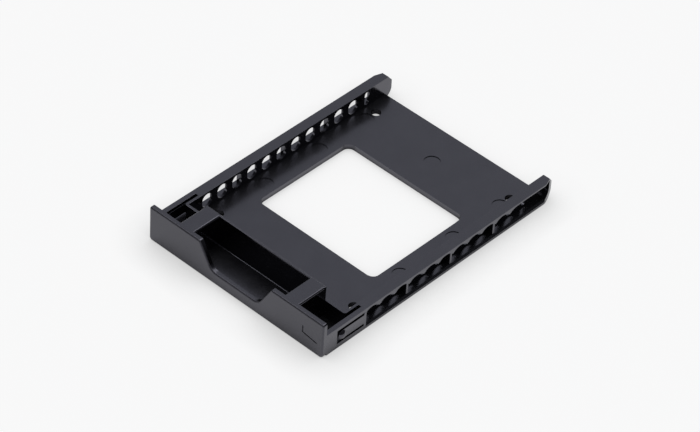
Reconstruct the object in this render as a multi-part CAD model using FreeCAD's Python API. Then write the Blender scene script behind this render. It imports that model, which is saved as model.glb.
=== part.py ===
"""One-piece moulded tray for a 2.5 inch hard drive.

Built with the front face on Y = 0, +X to the right, +Y towards the connector end and +Z up.
The finished moulding is then moved so that its origin is the centre of its underside.
"""
import FreeCAD, Part
import math
import os

from FreeCAD import Vector

# Drive that the tray carries
drive_width = 69.85
drive_side_to_hole = 4.065
drive_hole_spacing_along = 76.60
drive_front_to_hole = 9.40
drive_side_clearance = 0.60
drive_front_clearance = 0.10

# Base plate with its window, screw holes and ejector marks
base_thickness = 2.05
base_behind_holes = 9.75
screw_hole_radius = 1.80
window_from_web = 9.125
window_behind_front_holes = 14.05
window_before_rear_holes = 18.45
window_corner_radius = 2.60
ejector_mark_radius = 3.00
ejector_mark_depth = 0.25
front_marks_behind_holes = 22.20
middle_marks_before_holes = 28.30
rear_marks_before_edge = 14.80

# Front plate with its finger scoop
plate_inset = 0.05
plate_height = 14.20
plate_thickness = 1.80
plate_edge_radius = 0.65
plate_bottom_corner = 0.65
plate_top_corner = 0.15
scoop_top_width = 32.40
scoop_lip_height = 4.70
scoop_side_angle = 60.0
scoop_bottom_radius = 4.00
scoop_top_radius = 0.35

# Front box: finger pocket, bridges and side compartments
pocket_depth = 11.45
pocket_width = 40.80
pocket_foot_radius = 0.50
cross_wall = 1.00
cross_wall_edge = 0.30
wall_corner_radius = 1.00
bridge_width = 6.70
bridge_below_plate_top = 0.15
bridge_edge_radius = 0.70
bridge_skin = 1.40

# Side rails: a C section that is open outwards
web_thickness = 1.00
rail_depth = 3.00
rail_height = 9.10
rail_foot_chamfer = 0.30
rail_front_corner = 0.80
rail_front_lead = 0.30
rim_thickness = 0.75
flange_edge_across = 0.60
flange_edge_down = 0.80
rib_thickness = 1.00
rib_inset = 0.70
vents_between_ribs = 3

# Vents in the rail's web and the arches of the rim over them
vent_pitch = 7.05
vent_width = 4.50
vent_sill = 0.65
vent_below_rim = 0.05
last_vent_width = 2.30
first_vent_behind_block = 0.35
arch_rise = 1.55
tail_length = 13.00

# Rounded nose at the rear end of each rail
nose_overhang = 3.00
nose_bottom_radius = 4.00
nose_top_run = 1.90
nose_top_drop = 2.25
nose_corner_across = 1.65
nose_corner_along = 5.00
nose_wall = 1.90
nose_hollow_radius = 2.75

# Spring latch cut out of each side wall
latch_wall = 1.85
latch_bar_height = 1.40
arm_behind_plate = 5.05
arm_end_gap = 0.55
arm_slot = 1.00
arm_length = 11.90
arm_thinning = 0.55
arm_relief = 0.30
block_behind_arm = 1.00
nub_radius = 1.75
nub_height = 1.00

# Places worked out from the sizes above
web_inner = drive_width / 2 + drive_side_clearance
web_outer = web_inner + web_thickness
rail_outer = web_outer + rail_depth
latch_inner = rail_outer - latch_wall
pocket_half = pocket_width / 2
bridge_outer = pocket_half + bridge_width
bridge_top = plate_height - bridge_below_plate_top
cross_wall_front = plate_thickness + pocket_depth
cross_wall_back = cross_wall_front + cross_wall
front_holes = cross_wall_back + drive_front_clearance + drive_front_to_hole
rear_holes = front_holes + drive_hole_spacing_along
hole_x = drive_width / 2 - drive_side_to_hole
window_half = web_inner - window_from_web
base_back = rear_holes + base_behind_holes
rail_end = base_back + nose_overhang
tail_end = rail_end - nose_wall
slot_front = plate_thickness + arm_behind_plate
arm_front = slot_front + arm_end_gap
arm_root = arm_front + arm_length
arm_bottom = base_thickness + arm_slot
arm_top = rail_height - latch_bar_height - arm_slot
arm_end_radius = (arm_top - arm_bottom) / 2
block_end = arm_root + block_behind_arm
rim_underside = rail_height - rim_thickness
first_vent = block_end + first_vent_behind_block + vent_width / 2
first_arch = first_vent - vent_pitch / 2
arch_count = int((base_back - tail_length - first_arch) / vent_pitch)
last_arch = first_arch + arch_count * vent_pitch
arch_spring = rim_underside - arch_rise
through = 1.0
nearly_nothing = 1e-6


def block(x0, x1, y0, y1, z0, z1):
    """Box between two corners."""
    return Part.makeBox(x1 - x0, y1 - y0, z1 - z0, Vector(x0, y0, z0))


def outline(points, radii):
    """Closed wire through points, with each corner rounded by its radius where that isn't zero."""
    edges = []
    starts = []
    ends = []
    count = len(points)
    for i in range(count):
        corner = points[i]
        to_last = (points[i - 1] - corner).normalize()
        to_next = (points[(i + 1) % count] - corner).normalize()
        half_angle = to_last.getAngle(to_next) / 2
        reach = radii[i] / math.tan(half_angle)
        starts.append(corner + to_last * reach)
        ends.append(corner + to_next * reach)
        if radii[i] > 0:
            inward = (to_last + to_next).normalize()
            middle = corner + inward * (radii[i] / math.sin(half_angle) - radii[i])
            edges.append(Part.Arc(starts[i], middle, ends[i]).toShape())
    for i in range(count):
        start = ends[i]
        end = starts[(i + 1) % count]
        if start.distanceToPoint(end) > nearly_nothing:
            edges.append(Part.makeLine(start, end))
    return Part.Wire(Part.__sortEdges__(edges))


def prism(wire, direction):
    """Solid made by pushing a flat outline along a direction."""
    return Part.Face(wire).extrude(direction)


def mirrored(shape):
    """The shape's twin on the left-hand side."""
    return shape.mirror(Vector(0, 0, 0), Vector(1, 0, 0))


def both_sides(shapes):
    """The right-hand shapes and their left-hand twins."""
    return shapes + [mirrored(shape) for shape in shapes]


def front_plate():
    """Plate with rounded corners, a finger scoop in its top edge and an eased front edge."""
    half = rail_outer - plate_inset
    scoop_half = scoop_top_width / 2
    scoop_run = (plate_height - scoop_lip_height) / math.tan(math.radians(scoop_side_angle))
    right_side = [
        (half, 0, plate_bottom_corner + plate_edge_radius),
        (half, plate_height, plate_top_corner + plate_edge_radius),
        (scoop_half, plate_height, scoop_top_radius + plate_edge_radius),
        (scoop_half - scoop_run, scoop_lip_height, scoop_bottom_radius),
    ]
    left_side = [(-x, z, radius) for x, z, radius in reversed(right_side)]
    corners = right_side + left_side
    points = [Vector(x, 0, z) for x, z, radius in corners]
    radii = [radius for x, z, radius in corners]
    plate = prism(outline(points, radii), Vector(0, plate_thickness, 0))
    front_edges = [edge for edge in plate.Edges if edge.BoundBox.YMax < plate_thickness / 2]
    return plate.makeFillet(plate_edge_radius, front_edges)


def base_plate():
    """Floor of the tray from the front plate to the rear edge, between the rails' webs."""
    floor = block(-web_outer, web_outer, plate_thickness, base_back, 0, base_thickness)
    window_front = front_holes + window_behind_front_holes
    window_back = rear_holes - window_before_rear_holes
    corners = [
        Vector(-window_half, window_front, 0),
        Vector(window_half, window_front, 0),
        Vector(window_half, window_back, 0),
        Vector(-window_half, window_back, 0),
    ]
    window = prism(outline(corners, [window_corner_radius] * len(corners)), Vector(0, 0, base_thickness))
    return floor.cut(window)


def screw_holes():
    """Four plain holes for the drive's screws."""
    places = [Vector(x, y, 0) for y in (front_holes, rear_holes) for x in (-hole_x, hole_x)]
    return [Part.makeCylinder(screw_hole_radius, base_thickness, place) for place in places]


def ejector_marks():
    """Shallow round marks that the mould's ejector pins leave in the floor."""
    floor = base_thickness - ejector_mark_depth
    side_x = (window_half + web_inner) / 2
    rear_row = base_back - rear_marks_before_edge
    places = [(0, rear_row)]
    for y in (front_holes + front_marks_behind_holes, rear_holes - middle_marks_before_holes, rear_row):
        places.append((-side_x, y))
        places.append((side_x, y))
    feet = [Vector(x, y, floor) for x, y in places]
    return [Part.makeCylinder(ejector_mark_radius, ejector_mark_depth, foot) for foot in feet]


def cross_walls():
    """Wall behind the front box: rim height at the sides, bridge height behind the finger pocket."""
    low = block(-web_outer, web_outer, cross_wall_front, cross_wall_back, 0, rail_height)
    high = block(-bridge_outer, bridge_outer, cross_wall_front, cross_wall_back, 0, bridge_top)
    top_edges = [
        edge for edge in high.Edges
        if edge.BoundBox.ZMin > rail_height and edge.BoundBox.XLength > bridge_outer
    ]
    return low.fuse(high.makeFillet(cross_wall_edge, top_edges))


def bridge():
    """Box that ties the front plate to the cross wall, cored from below to an even skin."""
    body_back = cross_wall_back - cross_wall_edge
    body = block(pocket_half, bridge_outer, plate_thickness, body_back, 0, bridge_top)
    long_edges = [
        edge for edge in body.Edges
        if edge.BoundBox.ZMin > base_thickness and edge.BoundBox.YLength > pocket_depth
    ]
    return body.makeFillet(bridge_edge_radius, long_edges)


def bridge_core():
    """Hollow under a bridge, open at the tray's underside."""
    return block(
        pocket_half + bridge_skin,
        bridge_outer - bridge_skin,
        plate_thickness + bridge_skin,
        cross_wall_front,
        -through,
        bridge_top - bridge_skin,
    )


def pocket_foot():
    """Hollow fillet where the finger pocket's floor meets the cross wall."""
    corner = Vector(-pocket_half, cross_wall_front, base_thickness)
    down = corner + Vector(0, 0, pocket_foot_radius)
    along = corner - Vector(0, pocket_foot_radius, 0)
    centre = corner + Vector(0, -pocket_foot_radius, pocket_foot_radius)
    middle = centre + Vector(0, 1, -1).normalize() * pocket_foot_radius
    curve = Part.Arc(along, middle, down).toShape()
    section = Part.Wire([Part.makeLine(down, corner), Part.makeLine(corner, along), curve])
    return prism(section, Vector(pocket_width, 0, 0))


def rail_blank():
    """Right-hand rail before its hollows: its section, plan and side outline in common."""
    section = Part.makePolygon([
        Vector(web_inner, 0, 0),
        Vector(rail_outer - rail_foot_chamfer, 0, 0),
        Vector(rail_outer, 0, rail_foot_chamfer),
        Vector(rail_outer, 0, rail_height),
        Vector(web_inner, 0, rail_height),
        Vector(web_inner, 0, 0),
    ])
    side_points = [
        Vector(0, plate_thickness, 0),
        Vector(0, rail_end, 0),
        Vector(0, rail_end, rail_height - nose_top_drop),
        Vector(0, rail_end - nose_top_run, rail_height),
        Vector(0, plate_thickness, rail_height),
    ]
    side_radii = [rail_front_corner, nose_bottom_radius, 0, 0, 0]
    bar = prism(section, Vector(0, rail_end, 0))
    side = prism(outline(side_points, side_radii), Vector(rail_outer, 0, 0))
    return bar.common(side).common(rail_plan())


def rail_plan():
    """Prism of a rail's plan: it widens behind the front plate, and its outer rear corner is slanted."""
    plan = Part.makePolygon([
        Vector(web_inner, plate_thickness, 0),
        Vector(rail_outer - plate_inset, plate_thickness, 0),
        Vector(rail_outer, plate_thickness + rail_front_lead, 0),
        Vector(rail_outer, rail_end - nose_corner_along, 0),
        Vector(rail_outer - nose_corner_across, rail_end, 0),
        Vector(web_inner, rail_end, 0),
        Vector(web_inner, plate_thickness, 0),
    ])
    return prism(plan, Vector(0, 0, rail_height))


def rail_channel():
    """Hollow of the C section: an arch of the rim over each vent, and a plain tail behind the last crown."""
    edges = []
    for k in range(arch_count):
        start = Vector(web_outer, first_arch + k * vent_pitch, arch_spring)
        end = start + Vector(0, vent_pitch, 0)
        crown = (start + end) * 0.5 + Vector(0, 0, arch_rise)
        edges.append(Part.Arc(start, crown, end).toShape())
    frame = [
        Vector(web_outer, last_arch, arch_spring),
        Vector(web_outer, last_arch, base_thickness),
        Vector(web_outer, first_arch, base_thickness),
        Vector(web_outer, first_arch, arch_spring),
    ]
    for start, end in zip(frame, frame[1:]):
        edges.append(Part.makeLine(start, end))
    arches = prism(Part.Wire(edges), Vector(rail_depth, 0, 0))
    behind_block = block(web_outer, rail_outer, block_end, rail_end, 0, rail_height)
    last_crown = last_arch - vent_pitch / 2
    tail_corners = [
        Vector(web_outer, last_crown, base_thickness),
        Vector(web_outer, tail_end, base_thickness),
        Vector(web_outer, tail_end, rim_underside),
        Vector(web_outer, last_crown, rim_underside),
    ]
    tail = prism(outline(tail_corners, [0, nose_hollow_radius, 0, 0]), Vector(rail_depth, 0, 0))
    return [arches.common(behind_block), tail]


def flange_edge():
    """Slope along the outer edge of the rail's lower flange, inside the channel."""
    section = Part.makePolygon([
        Vector(rail_outer, block_end, base_thickness),
        Vector(rail_outer - flange_edge_across, block_end, base_thickness),
        Vector(rail_outer, block_end, base_thickness - flange_edge_down),
        Vector(rail_outer, block_end, base_thickness),
    ])
    return prism(section, Vector(0, tail_end - nose_hollow_radius - block_end, 0))


def rail_ribs():
    """Thin ribs across the channel, midway between vents, set back from the rail's outer face."""
    ribs = []
    for k in range(vents_between_ribs, arch_count, vents_between_ribs):
        y = first_arch + k * vent_pitch
        ribs.append(block(
            web_outer,
            rail_outer - rib_inset,
            y - rib_thickness / 2,
            y + rib_thickness / 2,
            base_thickness,
            rim_underside,
        ))
    return ribs


def vent(y, width):
    """Upright slot with round ends, through the web at y."""
    half = width / 2
    bottom = base_thickness + vent_sill
    top = rim_underside - vent_below_rim
    corners = [
        Vector(web_inner, y - half, bottom),
        Vector(web_inner, y + half, bottom),
        Vector(web_inner, y + half, top),
        Vector(web_inner, y - half, top),
    ]
    end_radius = min(width, top - bottom) / 2
    wire = outline(corners, [end_radius] * len(corners))
    return prism(wire, Vector(web_thickness, 0, 0))


def rail_vents():
    """One vent under each arch, and a narrow one in the tail."""
    vents = [vent(first_vent + k * vent_pitch, vent_width) for k in range(arch_count)]
    vents.append(vent(first_vent + arch_count * vent_pitch, last_vent_width))
    return vents


def side_hollow():
    """Side compartment of the front box and the clear way behind it, round the web's corner."""
    way_end = arm_root + arm_relief
    corners = [
        (bridge_outer, plate_thickness, 0),
        (latch_inner, plate_thickness, 0),
        (latch_inner, way_end, 0),
        (web_outer, way_end, 0),
        (web_outer, cross_wall_front, wall_corner_radius),
        (bridge_outer, cross_wall_front, 0),
    ]
    points = [Vector(x, y, base_thickness) for x, y, radius in corners]
    radii = [radius for x, y, radius in corners]
    return prism(outline(points, radii), Vector(0, 0, rail_height))


def latch_cuts():
    """U-shaped slot that frees the spring arm, and the hollow that thins the arm from inside."""
    opening = block(latch_inner, rail_outer, slot_front, arm_root, base_thickness, arm_top + arm_slot)
    arm_corners = [
        Vector(latch_inner, arm_front, arm_bottom),
        Vector(latch_inner, arm_root, arm_bottom),
        Vector(latch_inner, arm_root, arm_top),
        Vector(latch_inner, arm_front, arm_top),
    ]
    arm_radii = [arm_end_radius, 0, 0, arm_end_radius]
    arm = prism(outline(arm_corners, arm_radii), Vector(latch_wall, 0, 0))
    thinning = block(
        latch_inner,
        latch_inner + arm_thinning,
        arm_front,
        arm_root,
        arm_bottom,
        arm_top,
    )
    return [opening.cut(arm), thinning]


def latch_nub():
    """Domed catch at the round free end of the spring arm."""
    ball_radius = (nub_radius ** 2 + nub_height ** 2) / (2 * nub_height)
    place = Vector(rail_outer, arm_front + arm_end_radius, arm_bottom + arm_end_radius)
    ball = Part.makeSphere(ball_radius, place - Vector(ball_radius - nub_height, 0, 0))
    front_half = block(
        rail_outer,
        rail_outer + ball_radius,
        place.y - ball_radius,
        place.y + ball_radius,
        place.z - ball_radius,
        place.z + ball_radius,
    )
    return ball.common(front_half)


def rail():
    """Finished right-hand rail with its channel, ribs, vents and spring latch."""
    hollow = rail_blank().cut(rail_channel() + [flange_edge()] + latch_cuts())
    ribbed = hollow.fuse(rail_ribs())
    return ribbed.cut(rail_vents()).fuse(latch_nub())


def tray():
    """The whole moulding as one solid, with its origin at the centre of its underside."""
    pieces = [base_plate(), cross_walls(), pocket_foot()]
    pieces += both_sides([bridge(), rail()])
    cutters = screw_holes() + ejector_marks() + both_sides([bridge_core(), side_hollow()])
    moulding = front_plate().fuse(pieces).cut(cutters).removeSplitter().Solids[0]
    moulding.translate(Vector(0, -rail_end / 2, 0))
    return moulding


os.makedirs("parts", exist_ok=True)
drive_tray = tray()
drive_tray.exportStep("parts/drive_tray.step")
print("solids", len(drive_tray.Solids), "valid", drive_tray.isValid(), "volume", round(drive_tray.Volume, 1))
print("box", drive_tray.optimalBoundingBox(False, False))
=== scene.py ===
"""Looks of a black moulded drive tray: its finish, the studio floor, the light and the camera."""
import math

import bmesh
import bpy
from mathutils import Matrix, Vector


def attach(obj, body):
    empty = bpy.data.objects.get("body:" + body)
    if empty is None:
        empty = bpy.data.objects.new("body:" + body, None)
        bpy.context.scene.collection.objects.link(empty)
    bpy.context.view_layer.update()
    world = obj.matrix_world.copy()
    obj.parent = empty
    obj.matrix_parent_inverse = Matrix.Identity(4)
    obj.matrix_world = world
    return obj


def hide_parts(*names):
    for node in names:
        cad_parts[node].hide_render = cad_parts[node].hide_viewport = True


MM = 0.001

# Camera: its aim and place in millimetres, its turn in degrees
CAMERA_AIM = Vector((0.0, -1.55, 5.0))
CAMERA_AZIMUTH = 40.967
CAMERA_ELEVATION = 41.483
CAMERA_ROLL = -3.722
CAMERA_DISTANCE = 1103.0
CAMERA_RIGHT = -0.227
CAMERA_UP = -2.353
CAMERA_FOCAL_PIXELS = 3319.1
CAMERA_NEAREST = 10.0
CAMERA_FARTHEST = 10000.0
IMAGE_WIDTH_PIXELS = 700
SENSOR_WIDTH = 36.0

# Shell of the tray: lengths in millimetres, angles in degrees
MERGE_DISTANCE = 0.002
FLAT_ANGLE = 0.3
SMOOTH_ANGLE = 28.0
EASED_ANGLE = 60.0
EASED_LENGTH = 2.0
EASED_RADIUS = 0.14
EASED_STEPS = 2
ROUND_PROFILE = 0.5

# Two edges make one straight line where the cosine of the angle between them is above this
STRAIGHT_ON = 0.9995

# Corner line cut into the front plate, in millimetres across and up
CORNER_LINE = [(30.70, 8.80), (30.65, 6.10), (36.90, 5.10)]
CORNER_LINE_WIDTH = 0.50
CORNER_LINE_DEPTH = 0.25
CUTTER_SPARE = 0.50

# Colours of the plastic, bare and with a trace of dust
BLACK_PLASTIC = (0.002, 0.002, 0.0022, 1.0)
DUSTY_PLASTIC = (0.008, 0.008, 0.0088, 1.0)

# Sheen of the plastic, fitted to the tones seen: its index, above a usual plastic's, and its tint
PLASTIC_IOR = 1.85
SHEEN_TINT = (0.86, 0.85, 1.0, 1.0)

# Roughness of the plastic on upright walls and on level faces, fitted to the tones seen
WALL_GLOSS = 0.16
TOP_GLOSS = 0.25
WALL_TO_TOP = (0.3, 0.9)

# The front plate's face is taken as more matt: where it begins in millimetres, and by how much
MATT_FRONT = -56.0
MORE_MATT = 0.30

# Patterns on the plastic: spots to a metre, how many finer layers of spots, and how strong those are
GRAIN_SPOTS = (9000.0, 2.0, 0.5)
CLOUD_SPOTS = (60.0, 4.0, 0.6)
DUST_SPOTS = (140.0, 6.0, 0.7)

# Mould grain: strength, and depth in millimetres
GRAIN_STRENGTH = 0.06
GRAIN_DEPTH = 0.02

# Clouds of gloss: the part of the pattern that is used, and the change of roughness
CLOUD_PART = (0.3, 0.7)
CLOUD_CHANGE = (0.92, 1.08)

# Dust: the part of the pattern that is used, and how level a face has to be to hold it
DUST_PART = (0.40, 0.70)
DUST_LEVEL = (0.8, 1.0)

# Studio floor: its size and the reach of the tray's painted contact shadow, taken from ambient occlusion,
# in millimetres; and the samples of that painted shadow
FLOOR_SIZE = 4000.0
PAINTED_SHADOW_REACH = 15.0
PAINTED_SHADOW_SAMPLES = 8

# White paper: its own white, the plain white that it shows, the share of that, and the painted shade that
# darkens it near and under the tray, in reflections and to the camera
PAPER_WHITE = 0.9
PLAIN_WHITE = (1.0, 1.0, 1.0, 1.0)
PLAIN_SHARE = 0.83
PAINTED_SHADE_IN_REFLECTIONS = (0.39, 0.67)
PAINTED_SHADE_TO_CAMERA = (0.45, 1.0)

# Room: the side that is bright, where it fades, how bright it is from dim to bright, and its colour
BRIGHT_SIDE = (-0.55, 0.60, 0.58)
ROOM_FADE = (0.45, 0.9)
ROOM_STRENGTH = (0.07, 0.57)
ROOM_COLOUR = (0.91, 0.935, 1.0, 1.0)

# Round lamp over the tray: height and width in millimetres, power in watts
LAMP_HEIGHT = 1300.0
LAMP_WIDTH = 1600.0
LAMP_POWER = 12.0

# Range from nothing to all
WHOLE = (0.0, 1.0)


def new_object(name, data):
    """Object at the origin that holds a mesh, a lamp or a lens."""
    piece = bpy.data.objects.new(name, data)
    bpy.context.scene.collection.objects.link(piece)
    return piece


class Tree:
    """Short way to add nodes to a node tree and to link them."""

    def __init__(self, owner):
        owner.use_nodes = True
        self.tree = owner.node_tree
        self.tree.nodes.clear()

    def add(self, kind, inputs=(), **settings):
        """Adds a node, with its inputs set to values or linked to outputs of other nodes."""
        node = self.tree.nodes.new(kind)
        for key, value in settings.items():
            setattr(node, key, value)
        for key, value in dict(inputs).items():
            if isinstance(value, bpy.types.NodeSocket):
                self.tree.links.new(value, node.inputs[key])
            else:
                node.inputs[key].default_value = value
        return node

    def count(self, operation, *values, **settings):
        """Result of a calculation with up to three values."""
        node = self.add("ShaderNodeMath", enumerate(values), operation=operation, **settings)
        return node.outputs["Value"]

    def ramp(self, value, start, end, **settings):
        """Value that goes through the end range as the given one goes through the start range."""
        ranges = {"From Min": start[0], "From Max": start[1], "To Min": end[0], "To Max": end[1]}
        node = self.add("ShaderNodeMapRange", {"Value": value, **ranges}, **settings)
        return node.outputs["Result"]

    def noise(self, place, scale, detail, roughness):
        """Cloudy noise between 0 and 1."""
        sizes = {"Vector": place, "Scale": scale, "Detail": detail, "Roughness": roughness}
        return self.add("ShaderNodeTexNoise", sizes).outputs["Fac"]


def tray_plastic():
    """Black moulded plastic with a soft sheen, a fine grain, faint changes of gloss and a trace of dust."""
    material = bpy.data.materials.new("tray_plastic")
    tree = Tree(material)
    where = tree.add("ShaderNodeTexCoord").outputs
    place = where["Object"]
    along = tree.add("ShaderNodeSeparateXYZ", {"Vector": place}).outputs["Y"]
    upward = tree.add("ShaderNodeSeparateXYZ", {"Vector": where["Normal"]}).outputs["Z"]

    grain = tree.noise(place, *GRAIN_SPOTS)
    bump = tree.add(
        "ShaderNodeBump",
        {"Height": grain, "Strength": GRAIN_STRENGTH, "Distance": GRAIN_DEPTH * MM},
    )

    gloss = tree.ramp(upward, WALL_TO_TOP, (WALL_GLOSS, TOP_GLOSS))
    cloud = tree.ramp(tree.noise(place, *CLOUD_SPOTS), CLOUD_PART, CLOUD_CHANGE)
    gloss = tree.count("MULTIPLY", gloss, cloud)
    front = tree.count("LESS_THAN", along, MATT_FRONT * MM)
    gloss = tree.count("MULTIPLY_ADD", front, MORE_MATT, gloss)

    settled = tree.ramp(tree.noise(place, *DUST_SPOTS), DUST_PART, WHOLE)
    dust = tree.count("MULTIPLY", settled, tree.ramp(upward, DUST_LEVEL, WHOLE))
    colour = tree.add(
        "ShaderNodeMix",
        {"Factor": dust, "A": BLACK_PLASTIC, "B": DUSTY_PLASTIC},
        data_type="RGBA",
    )

    shader = tree.add(
        "ShaderNodeBsdfPrincipled",
        {
            "Base Color": colour.outputs["Result"],
            "Roughness": gloss,
            "IOR": PLASTIC_IOR,
            "Specular Tint": SHEEN_TINT,
            "Normal": bump.outputs["Normal"],
        },
    )
    tree.add("ShaderNodeOutputMaterial", {"Surface": shader.outputs["BSDF"]})
    return material


def corner_line_cutter(front):
    """Thin bent bar that stands across the front plate's face, to cut the corner line."""
    points = [Vector(point) for point in CORNER_LINE]
    steps = [(end - start).normalized() for start, end in zip(points, points[1:])]
    sides = [Vector((-step.y, step.x)) for step in steps]
    miter = (sides[0] + sides[1]).normalized()
    miter /= miter.dot(sides[0])
    offsets = [sides[0], miter, sides[1]]
    half = CORNER_LINE_WIDTH / 2
    ring = [point + offset * half for point, offset in zip(points, offsets)]
    ring += [point - offset * half for point, offset in reversed(list(zip(points, offsets)))]
    cutter = bmesh.new()
    near = [cutter.verts.new((point.x * MM, front - CUTTER_SPARE * MM, point.y * MM)) for point in ring]
    far = [cutter.verts.new((point.x * MM, front + CORNER_LINE_DEPTH * MM, point.y * MM)) for point in ring]
    cutter.faces.new(near)
    cutter.faces.new(far)
    for k in range(len(ring)):
        cutter.faces.new((near[k], near[k - 1], far[k - 1], far[k]))
    bmesh.ops.recalc_face_normals(cutter, faces=cutter.faces)
    mesh = bpy.data.meshes.new("corner_line_cutter")
    cutter.to_mesh(mesh)
    cutter.free()
    return new_object("corner_line_cutter", mesh)


def runs_on(edge, chosen):
    """Whether an edge's straight line goes on past its end in an edge that isn't one of the chosen."""
    line = (edge.verts[1].co - edge.verts[0].co).normalized()
    for corner in edge.verts:
        for other in corner.link_edges:
            onward = (other.verts[1].co - other.verts[0].co).normalized()
            if other not in chosen and abs(onward.dot(line)) > STRAIGHT_ON:
                return True
    return False


def ease_edges(shell):
    """Rounds the long outward edges slightly, as the mould leaves them."""
    flat = {edge for edge in shell.edges if edge.calc_face_angle() < math.radians(FLAT_ANGLE)}
    bmesh.ops.dissolve_limit(
        shell,
        angle_limit=math.radians(FLAT_ANGLE),
        verts=shell.verts,
        edges=[edge for edge in shell.edges if edge in flat and not runs_on(edge, flat)],
    )
    flat = set()
    sharp = set()
    for edge in shell.edges:
        turn = math.degrees(edge.calc_face_angle_signed())
        if abs(turn) < FLAT_ANGLE:
            flat.add(edge)
        elif turn > EASED_ANGLE and edge.calc_length() > EASED_LENGTH * MM:
            sharp.add(edge)
    chosen = sharp | flat
    bmesh.ops.bevel(
        shell,
        geom=[edge for edge in shell.edges if edge in sharp and not runs_on(edge, chosen)],
        offset=EASED_RADIUS * MM,
        offset_type="OFFSET",
        segments=EASED_STEPS,
        profile=ROUND_PROFILE,
        affect="EDGES",
        clamp_overlap=False,
    )


def even_triangles(mesh):
    """Cuts a mesh's faces into triangles that are as even as they can be, with no flat slivers."""
    shell = bmesh.new()
    shell.from_mesh(mesh)
    bmesh.ops.triangulate(shell, faces=shell.faces, quad_method="BEAUTY", ngon_method="BEAUTY")
    bmesh.ops.dissolve_degenerate(shell, edges=shell.edges, dist=MERGE_DISTANCE * MM)
    bmesh.ops.triangulate(shell, faces=shell.faces, quad_method="BEAUTY", ngon_method="BEAUTY")
    shell.to_mesh(mesh)
    shell.free()


def tray_shell(node):
    """Merged copy of the tray's mesh with smooth curves, eased edges and the corner line cut in."""
    shell = bmesh.new()
    shell.from_mesh(node.data)
    bmesh.ops.remove_doubles(shell, verts=shell.verts, dist=MERGE_DISTANCE * MM)
    ease_edges(shell)
    for face in shell.faces:
        face.smooth = True
    mesh = bpy.data.meshes.new("eased_tray")
    shell.to_mesh(mesh)
    shell.free()
    mesh.attributes.remove(mesh.attributes["custom_normal"])
    mesh.materials.clear()
    mesh.materials.append(tray_plastic())

    draft = new_object("eased_tray", mesh)
    cutter = corner_line_cutter(min(vertex.co.y for vertex in mesh.vertices))
    cut = draft.modifiers.new("corner_line", "BOOLEAN")
    cut.operation = "DIFFERENCE"
    cut.solver = "EXACT"
    cut.object = cutter
    seen = draft.evaluated_get(bpy.context.evaluated_depsgraph_get())
    finished = bpy.data.meshes.new_from_object(seen)
    finished.name = "tray_shell"
    bpy.data.objects.remove(draft)
    bpy.data.objects.remove(cutter)

    even_triangles(finished)
    finished.set_sharp_from_angle(angle=math.radians(SMOOTH_ANGLE))
    piece = new_object("tray_shell", finished)
    weighted = piece.modifiers.new("weighted", "WEIGHTED_NORMAL")
    weighted.keep_sharp = True
    return piece


def floor_paper_with_painted_shadow():
    """White paper that shows as plain white and keeps the tray's soft shadow, with painted shade darkening
    it near and under the tray.
    """
    material = bpy.data.materials.new("floor_paper_with_painted_shadow")
    tree = Tree(material)
    path = tree.add("ShaderNodeLightPath").outputs
    seen = tree.count("ADD", path["Is Camera Ray"], path["Is Glossy Ray"])
    seen = tree.count("ADD", seen, path["Is Transmission Ray"])
    plain = tree.count("MULTIPLY", seen, PLAIN_SHARE, use_clamp=True)
    # Painted shade: ambient occlusion darkens the paper's colour and glow near and under the tray, more in
    # reflections than to the camera
    reach = {"Distance": PAINTED_SHADOW_REACH * MM}
    occlusion_for_painting = tree.add("ShaderNodeAmbientOcclusion", reach, samples=PAINTED_SHADOW_SAMPLES)
    painted_in_reflections = tree.ramp(occlusion_for_painting.outputs["AO"], PAINTED_SHADE_IN_REFLECTIONS, WHOLE)
    painted_to_camera = tree.ramp(occlusion_for_painting.outputs["AO"], WHOLE, PAINTED_SHADE_TO_CAMERA)
    painted_shade = tree.add("ShaderNodeMix", {"Factor": path["Is Camera Ray"], "A": painted_in_reflections, "B": painted_to_camera})
    painted_shade = painted_shade.outputs["Result"]
    paper = tree.add("ShaderNodeBsdfDiffuse", {"Color": tree.count("MULTIPLY", painted_shade, PAPER_WHITE)})
    glow = tree.add("ShaderNodeEmission", {"Color": PLAIN_WHITE, "Strength": painted_shade})
    mixed = tree.add(
        "ShaderNodeMixShader",
        {0: plain, 1: paper.outputs["BSDF"], 2: glow.outputs["Emission"]},
    )
    tree.add("ShaderNodeOutputMaterial", {"Surface": mixed.outputs["Shader"]})
    return material


def studio_floor():
    """Large flat sheet of white paper under the tray."""
    half = FLOOR_SIZE / 2 * MM
    corners = [(-half, -half, 0), (half, -half, 0), (half, half, 0), (-half, half, 0)]
    mesh = bpy.data.meshes.new("floor")
    mesh.from_pydata(corners, [], [(0, 1, 2, 3)])
    mesh.materials.append(floor_paper_with_painted_shadow())
    new_object("floor", mesh)


def overhead_lamp():
    """Large round lamp that hangs over the tray and shines straight down."""
    lamp = bpy.data.lights.new("overhead_lamp", "AREA")
    lamp.shape = "DISK"
    lamp.size = LAMP_WIDTH * MM
    lamp.energy = LAMP_POWER
    new_object("overhead_lamp", lamp).location.z = LAMP_HEIGHT * MM


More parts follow.
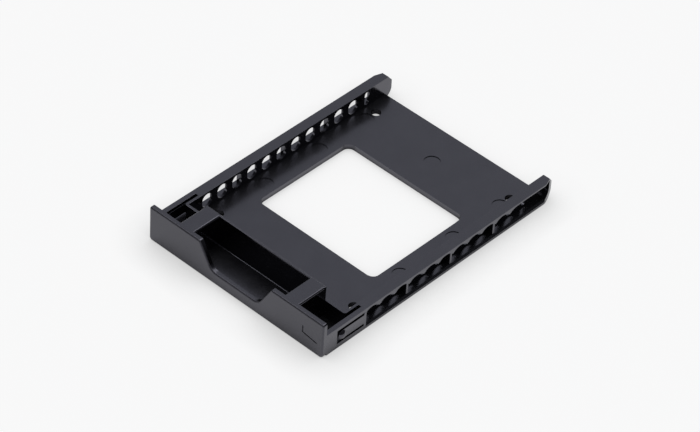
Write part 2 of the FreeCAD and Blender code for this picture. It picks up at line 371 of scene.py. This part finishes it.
def studio_room():
    """Dim room with one bright side, behind the tray and to its left."""
    world = bpy.data.worlds.new("studio")
    bpy.context.scene.world = world
    tree = Tree(world)
    toward = tree.add("ShaderNodeTexCoord").outputs["Generated"]
    near = tree.add("ShaderNodeVectorMath", {0: toward, 1: BRIGHT_SIDE}, operation="DOT_PRODUCT")
    lit = tree.ramp(near.outputs["Value"], ROOM_FADE, ROOM_STRENGTH, interpolation_type="SMOOTHSTEP")
    room = tree.add("ShaderNodeBackground", {"Color": ROOM_COLOUR, "Strength": lit})
    tree.add("ShaderNodeOutputWorld", {"Surface": room.outputs["Background"]})


def photo_camera():
    """Camera at the photograph's viewing angle."""
    azimuth = math.radians(CAMERA_AZIMUTH)
    elevation = math.radians(CAMERA_ELEVATION)
    roll = math.radians(CAMERA_ROLL)
    level = math.cos(elevation)
    back = Vector((math.sin(azimuth) * level, -math.cos(azimuth) * level, math.sin(elevation)))
    right = Vector((math.cos(azimuth), math.sin(azimuth), 0.0))
    up = back.cross(right)
    place = CAMERA_AIM + back * CAMERA_DISTANCE + right * CAMERA_RIGHT + up * CAMERA_UP
    image_right = right * math.cos(roll) - up * math.sin(roll)
    image_up = right * math.sin(roll) + up * math.cos(roll)
    lens = bpy.data.cameras.new("camera")
    lens.sensor_fit = "HORIZONTAL"
    lens.sensor_width = SENSOR_WIDTH
    lens.lens = CAMERA_FOCAL_PIXELS * SENSOR_WIDTH / IMAGE_WIDTH_PIXELS
    lens.clip_start = CAMERA_NEAREST * MM
    lens.clip_end = CAMERA_FARTHEST * MM
    camera = new_object("camera", lens)
    turn = Matrix((image_right, image_up, back)).transposed().to_4x4()
    camera.matrix_world = Matrix.Translation(place * MM) @ turn
    bpy.context.scene.camera = camera


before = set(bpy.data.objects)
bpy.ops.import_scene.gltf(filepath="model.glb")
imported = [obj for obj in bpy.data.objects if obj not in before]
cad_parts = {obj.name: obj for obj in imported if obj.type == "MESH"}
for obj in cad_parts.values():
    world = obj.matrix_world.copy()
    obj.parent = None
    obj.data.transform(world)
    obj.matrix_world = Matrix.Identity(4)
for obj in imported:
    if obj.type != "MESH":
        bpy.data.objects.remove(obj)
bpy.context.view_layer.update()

shell = tray_shell(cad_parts["drive_tray"])
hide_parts("drive_tray")
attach(shell, "root")

studio_floor()
studio_room()
overhead_lamp()
photo_camera()
bpy.context.scene.view_settings.view_transform = "Standard"
